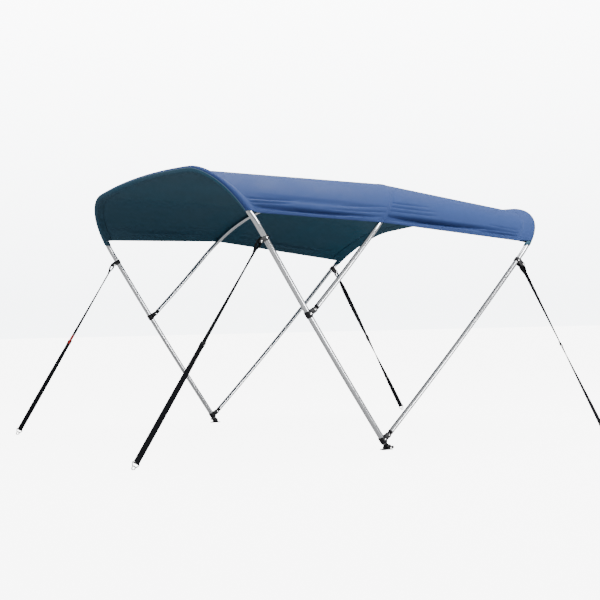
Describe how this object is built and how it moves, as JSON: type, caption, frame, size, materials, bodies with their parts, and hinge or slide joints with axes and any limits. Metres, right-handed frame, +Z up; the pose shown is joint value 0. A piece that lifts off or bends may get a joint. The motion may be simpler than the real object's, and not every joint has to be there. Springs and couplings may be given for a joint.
{
  "type": "bimini top with frame",
  "caption": "Boat bimini top: cloth canopy stretched over three folding tube bows, with deck hinges, jaw slides and webbing straps that end in snap hooks",
  "frame": {"origin": "on the deck, midway between the outermost points at front and rear, and midway between the outermost points of the two sides", "axes": "+X aft, along the length from the front hooks to the rear hooks; +Y to the far side in the picture; +Z up"},
  "size_m": [2.4925, 1.912, 1.266],
  "materials": {
    "canopy_cloth": "matt solution-dyed navy weave",
    "bow_tube": "bright anodised",
    "fitting_nylon": "moulded black nylon",
    "bolt_steel": "polished stainless",
    "strap_web": "woven black webbing",
    "tag_cloth": "red tape"
  },
  "bodies": {
    "frame": {"bracket_bolt_front_far": "bolt_steel", "bracket_bolt_front_near": "bolt_steel", "bracket_bolt_rear_far": "bolt_steel", "bracket_bolt_rear_near": "bolt_steel", "bracket_front_far": "fitting_nylon", "bracket_front_near": "fitting_nylon", "bracket_rear_far": "fitting_nylon", "bracket_rear_near": "fitting_nylon", "canopy": "canopy_cloth", "hook_front_far": "bolt_steel", "hook_front_near": "bolt_steel", "hook_rear_far": "bolt_steel", "hook_rear_near": "bolt_steel", "jaw_bolt_mid_far": "bolt_steel", "jaw_bolt_mid_near": "bolt_steel", "jaw_bolt_rear_far": "bolt_steel", "jaw_bolt_rear_near": "bolt_steel", "jaw_mid_far": "fitting_nylon", "jaw_mid_near": "fitting_nylon", "jaw_rear_far": "fitting_nylon", "jaw_rear_near": "fitting_nylon", "main_bow": "bow_tube", "main_eye_far": "fitting_nylon", "main_eye_near": "fitting_nylon", "mid_bow": "bow_tube", "mid_eye_far": "fitting_nylon", "mid_eye_near": "fitting_nylon", "pocket_end_front_far": "canopy_cloth", "pocket_end_rear_far": "canopy_cloth", "pocket_end_rear_near": "canopy_cloth", "rear_bow": "bow_tube", "rear_eye_far": "fitting_nylon", "rear_eye_near": "fitting_nylon", "slider_bar_front_far": "bolt_steel", "slider_bar_front_near": "bolt_steel", "slider_bar_rear_far": "bolt_steel", "slider_bar_rear_near": "bolt_steel", "slider_front_far": "fitting_nylon", "slider_front_near": "fitting_nylon", "slider_rear_far": "fitting_nylon", "slider_rear_near": "fitting_nylon", "strap_lower_front_far": "strap_web", "strap_lower_front_near": "strap_web", "strap_lower_rear_far": "strap_web", "strap_lower_rear_near": "strap_web", "strap_upper_front_far": "strap_web", "strap_upper_front_near": "strap_web", "strap_upper_rear_far": "strap_web", "strap_upper_rear_near": "strap_web", "tag": "tag_cloth"},
    "hinge_near": {"hinge_base_near": "fitting_nylon", "hinge_pin_near": "fitting_nylon"},
    "hinge_far": {"hinge_base_far": "fitting_nylon", "hinge_pin_far": "fitting_nylon"}
  },
  "joints": [
    {"name": "hinge_near", "type": "hinge", "parent": "frame", "child": "hinge_near", "pos_m": [-0.0721, -0.9, 0.016], "axis": [0, 1, 0], "range_deg": [-40, 40]},
    {"name": "hinge_far", "type": "hinge", "parent": "frame", "child": "hinge_far", "pos_m": [-0.0721, 0.9, 0.016], "axis": [0, 1, 0], "range_deg": [-40, 40]}
  ]
}
